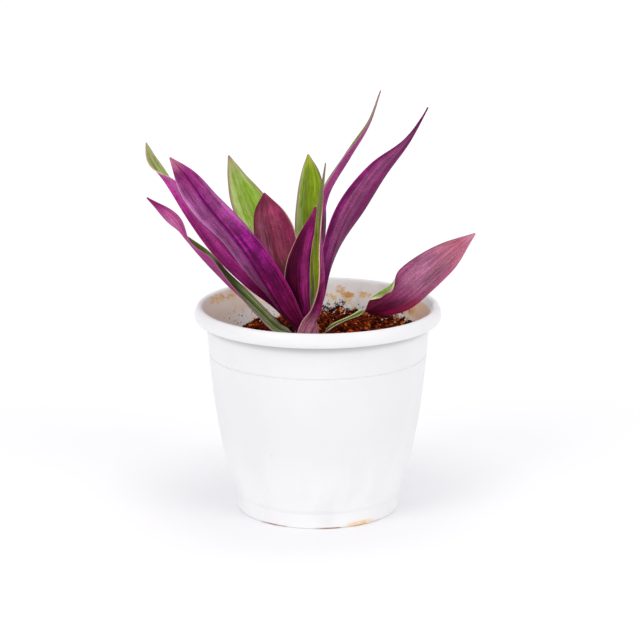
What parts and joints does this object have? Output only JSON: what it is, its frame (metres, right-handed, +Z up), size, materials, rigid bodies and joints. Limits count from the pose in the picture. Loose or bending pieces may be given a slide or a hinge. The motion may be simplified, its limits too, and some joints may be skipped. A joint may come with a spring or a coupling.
{
  "type": "potted tradescantia",
  "caption": "Potted house plant: a rosette of long pointed leaves, purple beneath and striped green above, on a short stem in compost, in a round tapered pot with a rolled rim.",
  "frame": {"origin": "centre of the pot's underside, on the surface that it stands on", "axes": "+Z up along the pot's axis; -Y to the front, as the plant is seen from; +X to its right"},
  "size_m": [0.1988, 0.15, 0.2552],
  "materials": {
    "pot": "satin",
    "soil": "matte",
    "stem": "satin",
    "leaf": "satin"
  },
  "bodies": {
    "root": {"pot": "pot", "soil": "soil", "stem": "stem", "leaf_far_left": "leaf", "leaf_front_left": "leaf", "leaf_low_left": "leaf", "leaf_back_left": "leaf", "leaf_broad": "leaf", "leaf_back_right": "leaf", "leaf_heart": "leaf", "leaf_upright": "leaf", "leaf_tall_narrow": "leaf", "leaf_tall_right": "leaf", "leaf_low_right": "leaf"}
  },
  "joints": []
}
